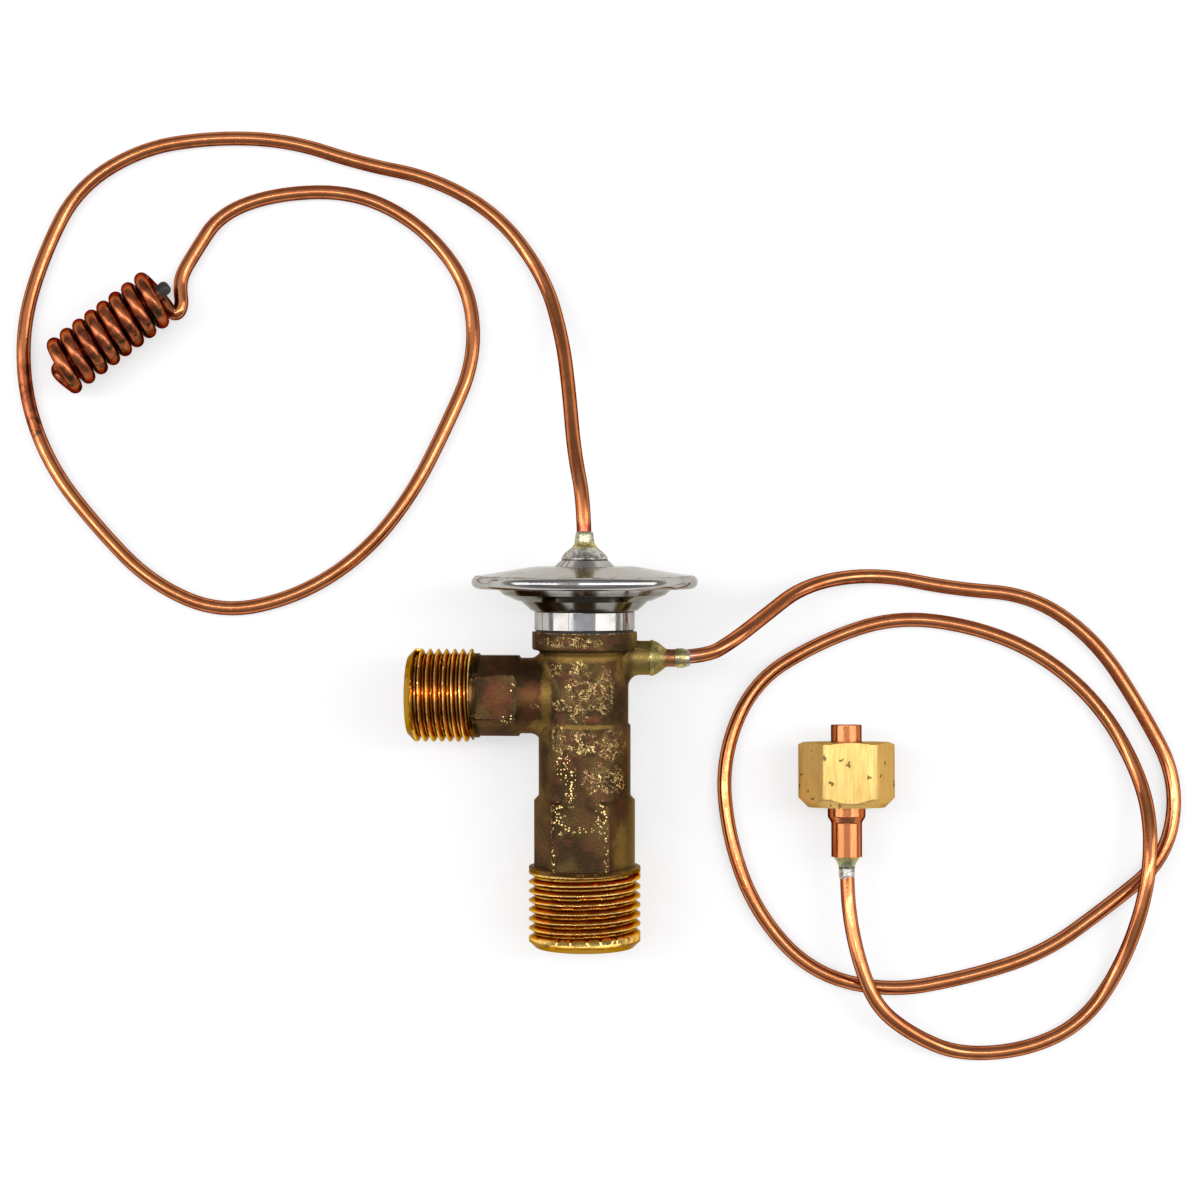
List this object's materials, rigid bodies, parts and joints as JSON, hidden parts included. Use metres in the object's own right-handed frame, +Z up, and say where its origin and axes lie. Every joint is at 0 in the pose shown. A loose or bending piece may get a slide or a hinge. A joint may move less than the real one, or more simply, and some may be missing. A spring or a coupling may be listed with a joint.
{
  "type": "thermostatic expansion valve",
  "caption": "Angle expansion valve of a cooling circuit: brass body, steel power head with coiled copper sensing tube, and an outside equalizer tube with its own nut.",
  "frame": {"origin": "on the table, under the middle of the valve measured without its two tubes", "axes": "+Z is up from the table; +Y runs from the outlet to the power head, which leans 9 degrees up from the table with its rim and outlet thread touching it; the inlet points to -X and the equalizer port to +X"},
  "size_m": [0.2063, 0.1658, 0.038],
  "materials": {
    "aged_brass": "forged and turned brass with a brown patina, bright on edges and threads",
    "bright_brass": "turned brass with fine grain",
    "steel": "pressed stainless steel, polished",
    "copper": "drawn copper tube, bright with faint stains",
    "dark_copper": "wound copper tube, darkened",
    "silver_braze": "rough silver braze, pale and uneven",
    "black_rubber": "plain seal rubber"
  },
  "bodies": {
    "valve": {"valve_body": "aged_brass", "orifice_seat": "bright_brass", "superheat_spring": "steel", "inlet_strainer": "bright_brass", "strainer_ring": "bright_brass", "rod_seal": "black_rubber", "rod_seal_ring": "bright_brass", "head_gasket": "black_rubber", "head_collar": "steel", "lower_housing": "steel", "upper_housing": "steel", "diaphragm": "steel", "head_nipple": "steel", "head_braze": "silver_braze", "equalizer_stub": "aged_brass", "stub_braze": "silver_braze", "equalizer_tube": "copper", "equalizer_ferrule": "copper", "ferrule_seal": "black_rubber", "ferrule_braze": "silver_braze", "capillary_tube": "copper", "bulb_coil": "dark_copper", "bulb_tail": "dark_copper"},
    "valve_pin": {"buffer_plate": "bright_brass", "push_rod": "steel", "valve_ball": "steel", "ball_carrier": "bright_brass"},
    "spring_rest": {"spring_seat": "bright_brass"},
    "adjuster": {"adjusting_screw": "bright_brass"},
    "nut": {"equalizer_nut": "bright_brass"}
  },
  "joints": [
    {"name": "pin_lift", "type": "slide", "parent": "valve", "child": "valve_pin", "axis": [0, -0.9877, -0.1566], "range_m": [0, 0.0008], "stiffness_N_per_m": 1000, "deforming": ["superheat_spring", "diaphragm"]},
    {"name": "spring_rest_slide", "type": "slide", "parent": "valve", "child": "spring_rest", "axis": [0, 0.9877, 0.1566], "range_m": [-0.001, 0.001], "deforming": ["superheat_spring"]},
    {"name": "adjuster_turn", "type": "hinge", "parent": "spring_rest", "child": "adjuster", "pos_m": [0.00563, -0.02801, 0.01025], "axis": [0, 0.9877, 0.1566], "range_deg": [-360, 360]},
    {"name": "nut_turn", "type": "hinge", "parent": "valve", "child": "nut", "pos_m": [0.0508, -0.01065, 0.0074], "axis": [0, 0.9962, 0.0872], "continuous": true}
  ],
  "couplings": [
    {"joint": "adjuster_turn", "follows": "spring_rest_slide", "rad_per_m": 6283.2}
  ]
}
